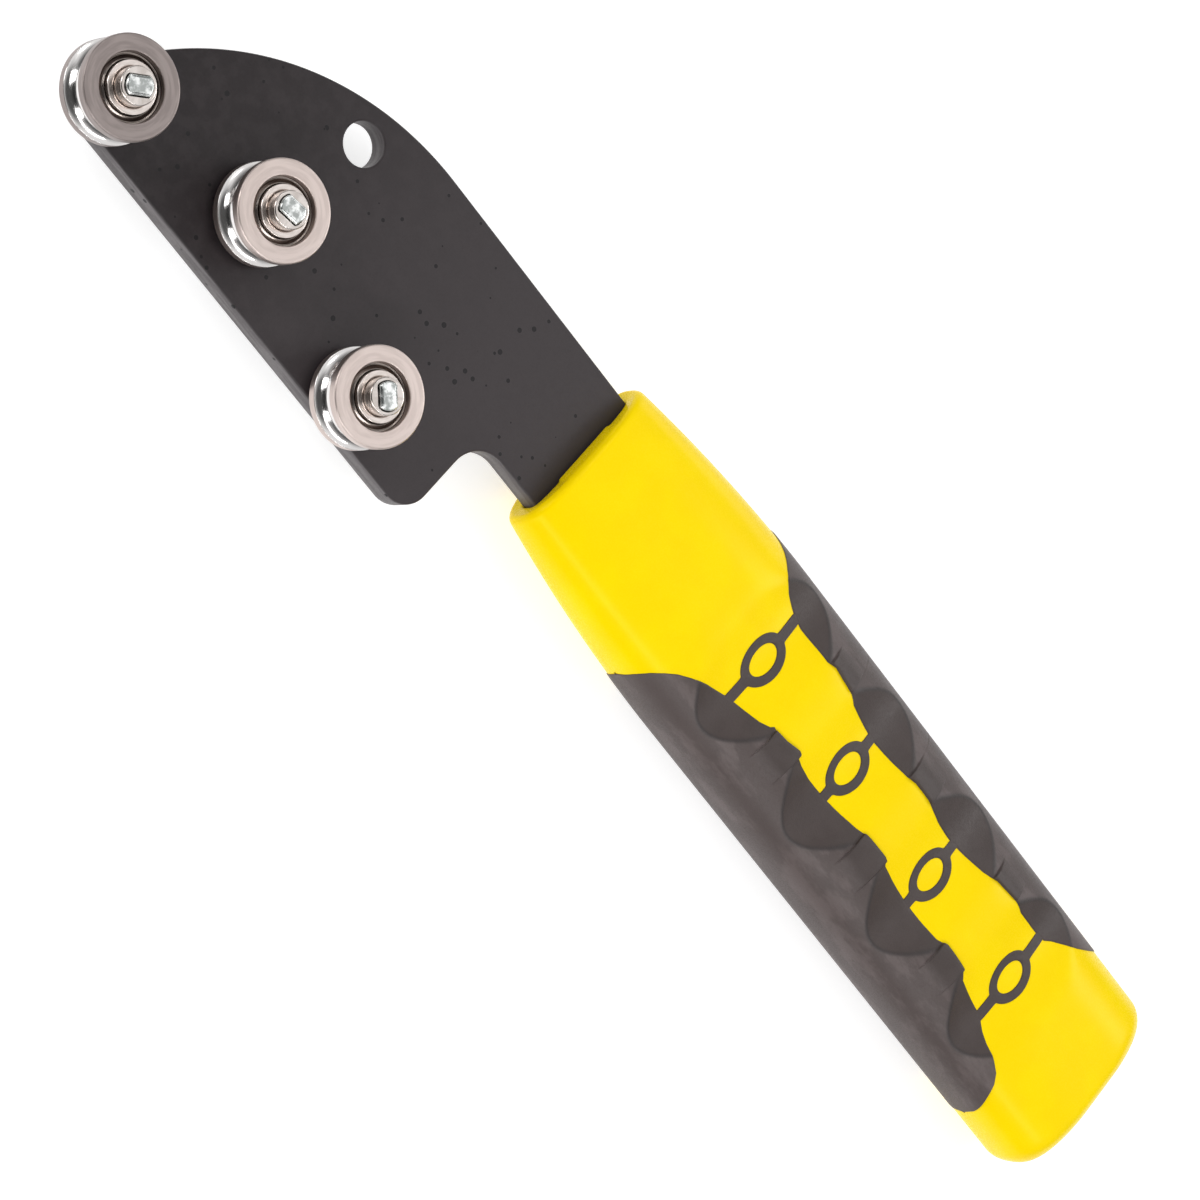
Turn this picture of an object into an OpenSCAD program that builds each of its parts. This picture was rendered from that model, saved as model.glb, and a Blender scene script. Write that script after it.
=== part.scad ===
// Hand-held wire straightener. Three grooved ball-bearing rollers stand on a steel head plate,
// and a two-colour moulded handle sits on the plate's tang. Millimetres.
// X runs along the handle towards the head, Y across it, Z along the axles, rollers on top.

/* [Head plate] */
// Thickness of the steel plate
plate_t = 4; // [3:0.5:5]
// Width of the tang where it enters the handle
tang_w = 24.1; // [20:0.1:26]
// Width of the tang inside the handle
inner_tang_w = 17; // [12:0.5:19]
// Length of the tang inside the handle
inner_tang_l = 112; // [60:1:130]
// Straight edge of the plate, measured from the handle's centre line
edge_y = 31; // [29:0.5:34]
// Back end of the plate's tab, measured from the middle axle
tab_x = 51.3; // [48:0.1:54]
// Corner radius of the tab
tab_r = 5; // [2:0.5:7]
// Inner radius of the notch between tab and handle
notch_r = 6; // [3:0.5:7]
// Radius of the long curved edge of the nose
nose_r = 57; // [54:0.5:60]
// Where the curved edge begins, behind the middle axle
nose_x = 19.5; // [16:0.5:21]
// Radius of the nose's tip round the front axle
nose_tip_r = 5.5; // [3:0.5:6]
// Radius of the hanging hole
hang_r = 3.6; // [2.5:0.1:4.5]
// Hanging hole behind the middle axle
hang_x = 4.6; // [2:0.1:8]
// Hanging hole below the handle's centre line
hang_y = 3.4; // [1:0.1:4.5]

/* [Roller layout] */
// Middle axle above the handle's centre line
middle_y = 18.8; // [18:0.1:20]
// Offset of the outer axles from the middle axle, across the wire
row_offset = 6.9; // [6:0.1:8]
// Distance along the wire from the middle axle to the front axle
front_pitch = 29.7; // [28:0.1:31]
// Distance along the wire from the middle axle to the rear axle
rear_pitch = 31.2; // [29:0.1:33]

/* [Rollers] */
// Outer diameter of a roller
roller_d = 16; // [15.8:0.1:17.5]
// Width of a roller
roller_w = 8; // [7:0.1:9]
// Radius of the round wire groove's section
groove_r = 2.4; // [2:0.1:2.6]
// Depth of the wire groove below the rim
groove_depth = 1.9; // [1.2:0.1:1.9]
// Chamfer at the rims' outer edges
rim_chamfer = 0.35; // [0.1:0.05:0.6]
// Diameter of a bearing ball
ball_d = 1.6; // [1.3:0.05:1.6]
// Diameter of the circle on which the balls run
ball_circle_d = 9.44; // [9.3:0.02:9.5]
// Number of balls in a bearing
ball_count = 10; // [7:1:11]
// Outer diameter of the inner ring
inner_ring_d = 8.2; // [7.9:0.1:8.3]
// Inner diameter of the outer ring, between its shields' seats
ring_bore_d = 10.64; // [10.5:0.02:10.8]
// Depth of the steel shields below the roller's faces
shield_recess = 1.1; // [0.3:0.05:1.3]
// Thickness of a shield
shield_t = 0.4; // [0.3:0.05:0.6]
// How far a shield is let into the outer ring
shield_seat = 0.25; // [0.15:0.05:0.3]
// Width of the ball cage along the axle
cage_w = 2.4; // [2.2:0.1:2.8]
// Thickness of the ball cage's wall
cage_t = 0.7; // [0.5:0.05:0.8]

/* [Axles] */
// Outer diameter of the collar that carries an inner ring
collar_d = 6; // [5.8:0.1:6.2]
// How far the collar stands out of the roller's face
collar_proud = 2.2; // [1.5:0.1:3]
// Chamfer on the collar's top edge
collar_chamfer = 0.4; // [0.2:0.05:0.6]
// Diameter of the axle, also of its two-flat part before the flats
axle_d = 5; // [4.6:0.1:5]
// How far the two-flat tip stands out of the collar
tip_proud = 0.6; // [0:0.1:1]
// Length of the two-flat section
tip_l = 4.5; // [4.2:0.1:4.6]
// Width of the two-flat section across its flats
tip_w = 3; // [2.6:0.1:3.2]
// Turn of the front axle's flats from the handle's direction
front_tip_turn = 43; // [-90:1:90]
// Turn of the middle axle's flats
middle_tip_turn = 9; // [-90:1:90]
// Turn of the rear axle's flats
rear_tip_turn = -41; // [-90:1:90]
// Thickness of the spacer between plate and inner ring
spacer_t = 1.3; // [0.8:0.1:2]
// Outer diameter of the spacer
spacer_d = 7.8; // [7:0.1:7.9]
// Diameter of the outer axles' riveted heads behind the plate
head_d = 7.2; // [6.4:0.1:8]
// Height of a riveted head
head_t = 1.4; // [1:0.1:2]
// Chamfer round a riveted head
head_chamfer = 0.5; // [0.2:0.05:0.8]
// Outer diameter of the washer behind the middle axle
washer_d = 16; // [14:0.5:17]
// Thickness of the washer
washer_t = 1.5; // [1:0.1:2]
// Width across the flats of the middle axle's nut
nut_w = 13; // [10:0.5:14]
// How far the middle axle ends inside its nut
nut_recess = 0.8; // [0.2:0.1:1.5]

/* [Handle] */
// Distance from the middle axle to the handle's mouth
handle_x = 66; // [64:0.5:70]
// Length of the handle
handle_l = 152; // [150:0.1:165]
// Width of the handle's body
handle_w = 37.6; // [35:0.1:40]
// Thickness of the handle's body at the ridges between the scoops
handle_t = 19.4; // [18:0.1:21]
// Width of the handle at its mouth
mouth_w = 31.2; // [30:0.1:34]
// Thickness of the handle at its mouth
mouth_t = 13; // [12:0.1:15]
// Length over which the mouth widens to the body
swell_l = 45; // [30:1:60]
// Squareness of the handle's section: 2 is an ellipse
squareness = 2.6; // [2.2:0.1:3.2]
// How much the ridges are flattened across the handle: 1 leaves the section full
ridge_flat = 1.02; // [1:0.01:1.05]
// Corner radius of the handle's end, seen from above
end_r = 5; // [4:0.5:12]
// Corner radius of the handle's end, seen from the side
end_side_r = 5; // [4:0.5:8]
// Edge radius at the mouth
mouth_r = 1.2; // [0.6:0.1:1.6]
// Gap around the tang at the mouth
mouth_gap = 0.3; // [0.2:0.1:1]
// Depth of the gap around the tang
mouth_depth = 4; // [2:0.5:6]

/* [Grips] */
// Number of scoops and of links on each face
link_count = 4; // [3:1:4]
// First link, measured from the handle's mouth
first_link = 46; // [44:0.1:50]
// Distance between neighbouring links
link_pitch = 25.1; // [24:0.1:26]
// Depth of the scoops
scoop_depth = 1.8; // [1:0.1:2.2]
// Half length of a scoop
scoop_half_l = 12.5; // [10:0.1:12.5]
// Extra depth of a scoop at the handle's sides
scoop_fall = 1.7; // [0.5:0.1:2]
// Width of the yellow strip between the grips
strip_w = 14.2; // [12:0.1:16]
// Thickness of the soft grips
grip_t = 1.8; // [1.2:0.1:2.2]
// Inner length of a link's ring, across the handle
ring_l = 6.6; // [5.6:0.1:7.4]
// Inner width of a link's ring
ring_w = 4.1; // [3:0.1:5]
// Width of a link's band beside its hole
band_w = 1.5; // [1.2:0.1:1.8]
// Width of a link's stems, and of its band at the ring's ends
stem_w = 1.9; // [1.4:0.1:2.2]
// Reach of the grips' front ends ahead of the first link, at the handle's edge
grip_front = 15.2; // [12:0.1:17]
// Reach of the grips' rear ends behind the last link
grip_rear = 14.6; // [10:0.1:16]

/* [Hidden] */
$fn = 96;
// Clearance of parts that are pressed or bolted together
seat_gap = 0.02;
// Radial clearance between balls and races
race_gap = 0.03;
// Radial clearance between a shield's edge and the inner ring
lip_gap = 0.08;
// Clearance around the balls in their cage
pocket_gap = 0.05;
// Gap around the two-flat tip in the collar
tip_gap = 0.12;
// Chamfers on the inner ring's outer edges and in its bore
ring_chamfer = 0.15;
bore_chamfer = 0.35;
// Clearance between the tang and the sleeve, and between sleeve and grips
mould_gap = 0.03;
cut = 1;

NAMES = ["front", "middle", "rear"];
AXLES = [[front_pitch, middle_y + row_offset], [0, middle_y], [-rear_pitch, middle_y + row_offset]];
TIP_TURNS = [front_tip_turn, middle_tip_turn, rear_tip_turn];
PIECES = ["roller_ring", "inner_ring", "bearing_balls", "ball_cage", "upper_shield", "lower_shield",
          "axle_collar", "axle", "spacer"];

roller_r = roller_d / 2;
ball_r = ball_d / 2;
ball_circle_r = ball_circle_d / 2;
axle_r = axle_d / 2;
collar_r = collar_d / 2;
ring_z = plate_t + spacer_t;
ring_mid_z = ring_z + roller_w / 2;
face_z = ring_z + roller_w;
top_z = face_z + collar_proud;

mid_z = plate_t / 2;
mouth_x = -handle_x;
end_x = mouth_x - handle_l;
links_x = [for (i = [0:link_count - 1]) mouth_x - first_link - i * link_pitch];
last_link_x = links_x[link_count - 1];

// The part lies level on its handle's ridges and the middle nut, centred over its own box
low_z = mid_z - handle_t / 2;
nut_h = -low_z - washer_t;
head_x = front_pitch + roller_r;
centre = [(head_x + end_x) / 2, (middle_y + row_offset + roller_r - handle_w / 2) / 2, low_z];

// The nose's curved edge is an arc round this point, and its tip an arc that meets it and the straight edge
nose_c = [-nose_x, nose_r - tang_w / 2];
tip_y = edge_y - nose_tip_r;
tip_c = [-nose_x + sqrt((nose_r - nose_tip_r) ^ 2 - (nose_c[1] - tip_y) ^ 2), tip_y];
tip_end = nose_c + (tip_c - nose_c) * nose_r / (nose_r - nose_tip_r);

module placed() translate(-centre) children();
module at_axle(i) translate(AXLES[i]) children();

// ---- head plate ----

// A square corner without its quarter disc: it rounds a corner at the origin or fills one
module corner(r, turn) rotate(turn) translate([-r, -r]) difference() {
    square(r + 0.01);
    circle(r);
}

module plate_outline() {
    difference() {
        union() {
            translate([-tab_x, -tang_w / 2]) square([tab_x - nose_x, edge_y + tang_w / 2]);
            intersection() {
                translate([-nose_x, -tang_w / 2]) square([nose_r, edge_y + tang_w / 2]);
                translate(nose_c) circle(nose_r, $fn = 360);
            }
            translate([mouth_x - mouth_depth, -tang_w / 2]) square([handle_x + mouth_depth - tab_x + 0.01, tang_w]);
            translate([mouth_x - inner_tang_l, -inner_tang_w / 2]) square([inner_tang_l, inner_tang_w]);
            translate([-tab_x, tang_w / 2]) corner(notch_r, -90);
        }
        translate([-tab_x, edge_y]) corner(tab_r, 90);
        difference() {
            polygon([tip_c, [tip_c[0], edge_y + cut], [nose_c[0] + nose_r, edge_y + cut], [nose_c[0] + nose_r, tip_end[1]], tip_end]);
            translate(tip_c) circle(nose_tip_r);
        }
    }
}

module frame_plate() color([0.21, 0.20, 0.21]) difference() {
    linear_extrude(plate_t) plate_outline();
    translate([-hang_x, -hang_y, -cut]) cylinder(r = hang_r, h = plate_t + 2 * cut);
    for (i = [0:2])
        at_axle(i) translate([0, 0, -cut]) cylinder(r = axle_r + seat_gap, h = plate_t + 2 * cut);
}

// ---- rollers and bearings, drawn on the origin's axis ----

// Section of a ring between two radii with chamfered outer corners
module ring_section(r_in, r_out, chamfer) polygon([
    [r_in, ring_z], [r_out - chamfer, ring_z], [r_out, ring_z + chamfer],
    [r_out, face_z - chamfer], [r_out - chamfer, face_z], [r_in, face_z]]);

module race_section() translate([ball_circle_r, ring_mid_z]) circle(ball_r + race_gap, $fn = 48);

module shield_section(r_in, r_out, gap, z) translate([r_in, z - gap]) square([r_out - r_in, shield_t + 2 * gap]);

module roller_ring() color([0.80, 0.77, 0.76]) rotate_extrude() difference() {
    ring_section(ring_bore_d / 2, roller_r, rim_chamfer);
    translate([roller_r - groove_depth + groove_r, ring_mid_z]) circle(groove_r, $fn = 64);
    race_section();
    for (z = [upper_shield_z(), lower_shield_z()])
        shield_section(ring_bore_d / 2 - cut, ring_bore_d / 2 + shield_seat + seat_gap, seat_gap, z);
}

module inner_ring() color([0.78, 0.76, 0.76]) rotate_extrude() difference() {
    ring_section(collar_r + seat_gap, inner_ring_d / 2, ring_chamfer);
    race_section();
    for (z = [ring_z, face_z])
        translate([collar_r, z]) rotate(45) square(sqrt(2) * bore_chamfer, center = true);
}

module bearing_balls() color([0.86, 0.86, 0.88]) for (k = [0:ball_count - 1])
    rotate(k * 360 / ball_count) translate([ball_circle_r, 0, ring_mid_z]) sphere(r = ball_r);

module ball_cage() color([0.72, 0.60, 0.32]) difference() {
    translate([0, 0, ring_mid_z - cage_w / 2]) difference() {
        cylinder(r = ball_circle_r + cage_t / 2, h = cage_w);
        translate([0, 0, -cut]) cylinder(r = ball_circle_r - cage_t / 2, h = cage_w + 2 * cut);
    }
    for (k = [0:ball_count - 1])
        rotate(k * 360 / ball_count) translate([ball_circle_r - cage_t, 0, ring_mid_z]) rotate([0, 90, 0])
            cylinder(r = ball_r + pocket_gap, h = 2 * cage_t, $fn = 32);
}

function upper_shield_z() = face_z - shield_recess - shield_t;
function lower_shield_z() = ring_z + shield_recess;

module shield(z) color([0.72, 0.70, 0.69]) rotate_extrude()
    shield_section(inner_ring_d / 2 + lip_gap, ring_bore_d / 2 + shield_seat, 0, z);

// ---- axles ----

// Round section with two flats
module two_flat(gap, turn) rotate(turn) intersection() {
    circle(tip_l / 2 + gap);
    square([tip_l + 2 * gap + cut, tip_w + 2 * gap], center = true);
}

// The outer axles end in a riveted head behind the plate, the middle one in a nut
module axle(turn, riveted) color([0.84, 0.87, 0.90]) {
    if (riveted) {
        translate([0, 0, -head_t]) cylinder(r1 = head_d / 2 - head_chamfer, r2 = head_d / 2, h = head_chamfer);
        translate([0, 0, head_chamfer - head_t]) cylinder(r = head_d / 2, h = head_t - head_chamfer);
    }
    end_z = riveted ? -head_t / 2 : low_z + nut_recess;
    translate([0, 0, end_z]) cylinder(r = axle_r, h = ring_z - end_z);
    translate([0, 0, ring_z]) linear_extrude(top_z + tip_proud - ring_z) two_flat(0, turn);
}

module axle_collar(turn) color([0.82, 0.80, 0.79]) difference() {
    translate([0, 0, ring_z]) union() {
        cylinder(r = collar_r, h = top_z - ring_z - collar_chamfer);
        translate([0, 0, top_z - ring_z - collar_chamfer])
            cylinder(r1 = collar_r, r2 = collar_r - collar_chamfer, h = collar_chamfer);
    }
    translate([0, 0, ring_z - cut]) linear_extrude(top_z - ring_z + 2 * cut) two_flat(tip_gap, turn);
}

module spacer() color([0.70, 0.70, 0.71]) translate([0, 0, plate_t]) difference() {
    cylinder(r = spacer_d / 2, h = spacer_t);
    translate([0, 0, -cut]) cylinder(r = axle_r + seat_gap, h = spacer_t + 2 * cut);
}

module middle_washer() color([0.70, 0.70, 0.71]) translate([0, 0, -washer_t]) difference() {
    cylinder(r = washer_d / 2, h = washer_t);
    translate([0, 0, -cut]) cylinder(r = axle_r + seat_gap, h = washer_t + 2 * cut);
}

// Hexagon nut whose lower face is chamfered to a round seat
module middle_nut() color([0.70, 0.70, 0.71]) translate([0, 0, low_z]) difference() {
    tip_r = nut_w / sqrt(3);
    cylinder(r = tip_r, h = nut_h, $fn = 6);
    translate([0, 0, -cut]) cylinder(r = axle_r + seat_gap, h = nut_h + 2 * cut);
    rotate_extrude() polygon([[nut_w / 2, 0], [nut_w / 2, -cut], [tip_r + cut, -cut],
        [tip_r + cut, (tip_r + cut - nut_w / 2) * tan(30)]]);
}

// ---- handle ----

function clamp01(s) = min(1, max(0, s));
function swell(x) = 1 - (1 - clamp01((mouth_x - x) / swell_l)) ^ 2;
// How much a rounded edge of radius r draws a section in, d away from the end
function rounding(d, r) = d >= r ? 0 : r - sqrt(r ^ 2 - (r - max(0, d)) ^ 2);
function half_w(x) = (mouth_w + (handle_w - mouth_w) * swell(x)) / 2
    - rounding(x - end_x, end_r) - rounding(mouth_x - x, mouth_r);
function half_t(x) = (mouth_t + (handle_t - mouth_t) * swell(x)) / 2
    - rounding(x - end_x, end_side_r) - rounding(mouth_x - x, mouth_r);
// Share of a scoop's full depth at a place along the handle, and the height that it leaves
function scoop(x) = max([for (lx = links_x) cos(90 * clamp01(abs(x - lx) / scoop_half_l)) ^ 2]);
function face_h(x, y) = handle_t / 2 - scoop(x) * (scoop_depth + scoop_fall * (2 * y / handle_w) ^ 2);
function signed_power(v, p) = sign(v) * abs(v) ^ p;

// Stations along the handle: close together at the rounded ends and over the scoops
SIDES = 28;
END_STEPS = 5;
SCOOP_STEPS = 7 * link_count;
SWELL_STEPS = 6;
MOUTH_STEPS = 2;
scoop_x0 = last_link_x - scoop_half_l;
scoop_x1 = links_x[0] + scoop_half_l;
STATIONS = concat(
    [for (k = [0:END_STEPS]) end_x + end_r * (1 - cos(k * 90 / END_STEPS))],
    [for (k = [1:SCOOP_STEPS]) scoop_x0 + (k - 0.5) * (scoop_x1 - scoop_x0) / SCOOP_STEPS],
    [for (k = [1:SWELL_STEPS]) scoop_x1 + k * (mouth_x - mouth_r - scoop_x1) / SWELL_STEPS],
    [for (k = [1:MOUTH_STEPS]) mouth_x - mouth_r * (1 - sin(k * 90 / MOUTH_STEPS))]);

// The handle's outer form, let in by a depth all round
module handle_form(inset = 0) {
    n = len(STATIONS);
    points = [for (x = STATIONS, k = [0:SIDES - 1])
        let (a = half_w(x) - inset, b = half_t(x) - inset, t = k * 360 / SIDES,
             y = a * signed_power(cos(t), 2 / squareness),
             h = min(b * min(1, ridge_flat * abs(sin(t)) ^ (2 / squareness)), face_h(x, y) - inset))
        [x, y, mid_z + sign(sin(t)) * h]];
    faces = concat(
        [[for (k = [0:SIDES - 1]) k]],
        [for (j = [0:n - 2], k = [0:SIDES - 1])
            [j * SIDES + k, (j + 1) * SIDES + k, (j + 1) * SIDES + (k + 1) % SIDES]],
        [for (j = [0:n - 2], k = [0:SIDES - 1])
            [j * SIDES + k, (j + 1) * SIDES + (k + 1) % SIDES, j * SIDES + (k + 1) % SIDES]],
        [[for (k = [SIDES - 1:-1:0]) (n - 1) * SIDES + k]]);
    polyhedron(points, faces, convexity = 4);
}

// Outline of one grip from above, on the +Y side. Its slanting ends are given as shares of their reach
// along the handle and of the way from the strip to the handle's side
FRONT_END = [[1.07, 1.1], [0.71, 0.69], [0.43, 0.42], [0.03, 0.23]];
REAR_END = [[0.14, 0.22], [0.58, 0.39], [0.82, 0.6], [0.96, 0.9], [1, 1.1]];
// The strip's waist: shares of the way from the first link to the last, and of the strip's half width
WAIST = [[0.12, 1.06], [0.3, 0.99], [0.5, 0.93], [0.7, 1.0], [0.88, 1.12]];
module grip_outline() {
    in_y = strip_w / 2;
    way = handle_w / 2 - in_y;
    x0 = links_x[0];
    x1 = last_link_x;
    polygon(concat(
        [for (p = FRONT_END) [x0 + p[0] * grip_front, in_y + p[1] * way]],
        [for (p = WAIST) [x0 + p[0] * (x1 - x0), p[1] * in_y]],
        [for (p = REAR_END) [x1 - p[0] * grip_rear, in_y + p[1] * way]]));
}

// Outline of the links: a ring on the centre line with a stem to each grip
module links_outline() for (x = links_x) translate([x, 0]) {
    difference() {
        resize([ring_w + 2 * band_w, ring_l + 2 * stem_w]) circle(ring_l, $fn = 32);
        resize([ring_w, ring_l]) circle(ring_l, $fn = 32);
    }
    for (side = [-1, 1])
        translate([-stem_w / 2, side * (ring_l / 2 + stem_w / 2) - (side < 0 ? strip_w / 2 : 0)])
            square([stem_w, strip_w / 2]);
}

module both_grips_outline() {
    grip_outline();
    mirror([0, 1]) grip_outline();
}

module handle_sleeve() color([1.0, 0.86, 0.0]) difference() {
    handle_form();
    difference() {
        translate([0, 0, mid_z - handle_t]) linear_extrude(2 * handle_t) {
            both_grips_outline();
            links_outline();
        }
        handle_form(grip_t);
    }
    tang_slot();
}

// The slot that holds the tang, and the wider gap round it at the mouth
module tang_slot() {
    translate([mouth_x - mouth_depth - mould_gap, -tang_w / 2 - mouth_gap, mid_z - plate_t / 2 - 2 * mouth_gap])
        cube([mouth_depth + cut, tang_w + 2 * mouth_gap, plate_t + 4 * mouth_gap]);
    translate([mouth_x - inner_tang_l - mould_gap, -inner_tang_w / 2 - mould_gap, -mould_gap])
        cube([inner_tang_l, inner_tang_w + 2 * mould_gap, plate_t + 2 * mould_gap]);
}

module soft_skin(inset) difference() {
    intersection() {
        handle_form();
        translate([0, 0, mid_z - handle_t]) linear_extrude(2 * handle_t) children();
    }
    handle_form(grip_t - inset);
}

module grip(side) color([0.30, 0.27, 0.27]) soft_skin(mould_gap)
    mirror([0, side < 0 ? 1 : 0]) grip_outline();

module grip_links() color([0.30, 0.27, 0.27]) soft_skin(mould_gap) difference() {
    links_outline();
    both_grips_outline();
}

// ---- nodes ----

placed() frame_plate();
placed() handle_sleeve();
placed() grip(1);  // grip_left
placed() grip(-1);  // grip_right
placed() grip_links();
placed() at_axle(1) middle_washer();
placed() at_axle(1) middle_nut();
for (i = [0:2]) {
    placed() at_axle(i) roller_ring();
    placed() at_axle(i) inner_ring();
    placed() at_axle(i) bearing_balls();
    placed() at_axle(i) ball_cage();
    placed() at_axle(i) shield(upper_shield_z());
    placed() at_axle(i) shield(lower_shield_z());
    placed() at_axle(i) axle_collar(TIP_TURNS[i]);
    placed() at_axle(i) axle(TIP_TURNS[i], i != 1);
    placed() at_axle(i) spacer();
}
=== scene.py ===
import bpy
import numpy as np
from mathutils import Matrix, Vector
from mathutils.geometry import tessellate_polygon


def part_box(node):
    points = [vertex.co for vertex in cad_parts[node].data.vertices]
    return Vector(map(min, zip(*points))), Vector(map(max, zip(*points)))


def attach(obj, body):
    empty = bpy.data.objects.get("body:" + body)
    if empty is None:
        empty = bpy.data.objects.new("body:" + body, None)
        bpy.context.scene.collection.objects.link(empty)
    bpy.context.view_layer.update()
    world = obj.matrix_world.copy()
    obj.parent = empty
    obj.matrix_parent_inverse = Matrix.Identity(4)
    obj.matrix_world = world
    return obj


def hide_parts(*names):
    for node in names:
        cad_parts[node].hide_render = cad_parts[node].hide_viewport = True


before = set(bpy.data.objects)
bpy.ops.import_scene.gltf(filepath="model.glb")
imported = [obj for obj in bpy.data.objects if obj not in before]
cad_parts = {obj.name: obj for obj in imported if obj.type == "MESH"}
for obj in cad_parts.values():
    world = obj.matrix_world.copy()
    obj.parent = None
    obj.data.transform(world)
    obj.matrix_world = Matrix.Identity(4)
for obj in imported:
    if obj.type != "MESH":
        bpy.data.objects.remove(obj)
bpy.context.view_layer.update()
mm = 0.001  # in metres
rollerNames = ["front", "middle", "rear"]
print("frame loaded:", len(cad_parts), "nodes")


def nodeBox(name):
    # A CAD node's lowest and highest corners at rest, in millimetres.
    low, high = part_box(name)
    return np.array(low) / mm, np.array(high) / mm


axleAt = {name: np.mean(nodeBox(name + "_axle"), axis=0)[:2] for name in rollerNames}
sleeveLow, sleeveHigh = nodeBox("handle_sleeve")
plateLow, plateHigh = nodeBox("frame_plate")
buttX, mouthX = sleeveLow[0], sleeveHigh[0]
axisY = (sleeveLow[1] + sleeveHigh[1]) / 2
middleZ = (plateLow[2] + plateHigh[2]) / 2
headX = axleAt["middle"][0]


def addObject(name, data):
    # A new object in the scene, at the origin.
    thing = bpy.data.objects.new(name, data)
    bpy.context.scene.collection.objects.link(thing)
    return thing


def put(tree, kind, inputs=None, **settings):
    # Adds a node. Settings are its own properties, and inputs are plain values or other nodes' sockets.
    node = tree.nodes.new("ShaderNode" + kind)
    for key, value in settings.items():
        setattr(node, key, value)
    for key, value in (inputs or {}).items():
        if isinstance(value, bpy.types.NodeSocket):
            tree.links.new(value, node.inputs[key])
        else:
            node.inputs[key].default_value = value
    return node


def spread(tree, value, low, high, outLow=0.0, outHigh=1.0):
    # A smooth step from outLow to outHigh while the value goes from low to high.
    limits = dict(enumerate([value, low, high, outLow, outHigh]))
    return put(tree, "MapRange", limits, clamp=True, interpolation_type="SMOOTHSTEP").outputs[0]


cameraSetup = {
    # from the handle's axis at the middle axle, on the plate's rear face
    "fromHead": (163.24, 271.20, 535.22),
    "right": (-0.57286, -0.59932, 0.55915),
    "down": (-0.72176, 0.69214, 0.00241),
    "lens": 120.0,
    "sensor": 36.0,
    "clip": (0.01, 20.0),
}


def makeCamera():
    # The photograph's camera: up is made square to right, and it looks against their cross product.
    data = bpy.data.cameras.new("photoCamera")
    data.lens, data.sensor_width, data.sensor_fit = cameraSetup["lens"], cameraSetup["sensor"], "HORIZONTAL"
    data.clip_start, data.clip_end = cameraSetup["clip"]
    right = Vector(cameraSetup["right"]).normalized()
    up = -Vector(cameraSetup["down"])
    up = (up - right * up.dot(right)).normalized()
    turn = Matrix((right, up, right.cross(up))).transposed()
    place = Vector((headX, axisY, plateLow[2])) + Vector(cameraSetup["fromHead"])
    camera = addObject("photoCamera", data)
    camera.matrix_world = Matrix.Translation(place * mm) @ turn.to_4x4()
    bpy.context.scene.camera = camera


studio = {
    "floorSize": 6.0,
    "floorColour": (0.62, 0.62, 0.62),
    "floorRough": 0.9,
    "floorGlow": 0.62,  # a lit table, so that shadows stay pale
    # sky brightness at rising heights, from straight down at 0 past the horizon at 0.5 to overhead at 1
    "sky": [(0.0, 0.6), (0.50, 0.06), (0.62, 0.10), (0.74, 0.42), (0.84, 1.0), (1.0, 1.15)],
    "skyStrength": 1.0,
    # a dark patch behind the camera: its middle, its outer and inner cosine, and the light left there
    "darkSide": ((0.4465, 0.532, 0.719), 0.62, 0.90, 0.08),
    # name, place, width, height, watts
    "lights": [
        ("shoulderBox", (-0.23, 0.58, 0.65), 0.90, 0.08, 2.6),
        ("headBox", (0.72, 0.19, 0.34), 0.22, 0.50, 1.9),
        ("sideBox", (0.15, 0.73, 0.30), 0.24, 0.45, 1.2),
        ("keyBox", (-0.50, -0.62, 0.60), 0.35, 0.35, 1.6),
        ("lowBox", (-0.10, -0.80, 0.16), 0.60, 0.20, 0.8),
        ("crownBox", (0.58, -0.50, 0.86), 0.14, 0.14, 0.6),
    ],
    "aim": (0.03, 0.0, 0.01),
}


def makeSky():
    # Brightness is a smooth curve of a direction's height, times a dark patch round one direction:
    # bright overhead and dark walls low down, so that bare metal has something to mirror.
    world = bpy.data.worlds.new("softSky")
    world.use_nodes = True
    tree = world.node_tree
    way = put(tree, "TexCoord").outputs["Generated"]
    upward = put(tree, "SeparateXYZ", {0: way}).outputs[2]
    rise = put(tree, "Math", {0: upward, 1: 0.5, 2: 0.5}, operation="MULTIPLY_ADD").outputs[0]
    ramp = put(tree, "ValToRGB", {0: rise})
    stops = ramp.color_ramp.elements
    ramp.color_ramp.interpolation = "B_SPLINE"
    for number, (height, bright) in enumerate(studio["sky"]):
        stop = stops[number] if number < 2 else stops.new(height)
        stop.position, stop.color = height, (bright, bright, bright, 1)
    towards, outer, inner, left = studio["darkSide"]
    lean = put(tree, "VectorMath", {0: way, 1: Vector(towards).normalized()}, operation="DOT_PRODUCT")
    patch = spread(tree, lean.outputs["Value"], outer, inner, 1.0, left)
    shade = put(tree, "VectorMath", {0: ramp.outputs[0], "Scale": patch}, operation="SCALE")
    background = tree.nodes["Background"].inputs
    tree.links.new(shade.outputs[0], background["Color"])
    background["Strength"].default_value = studio["skyStrength"]
    bpy.context.scene.world = world


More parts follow.
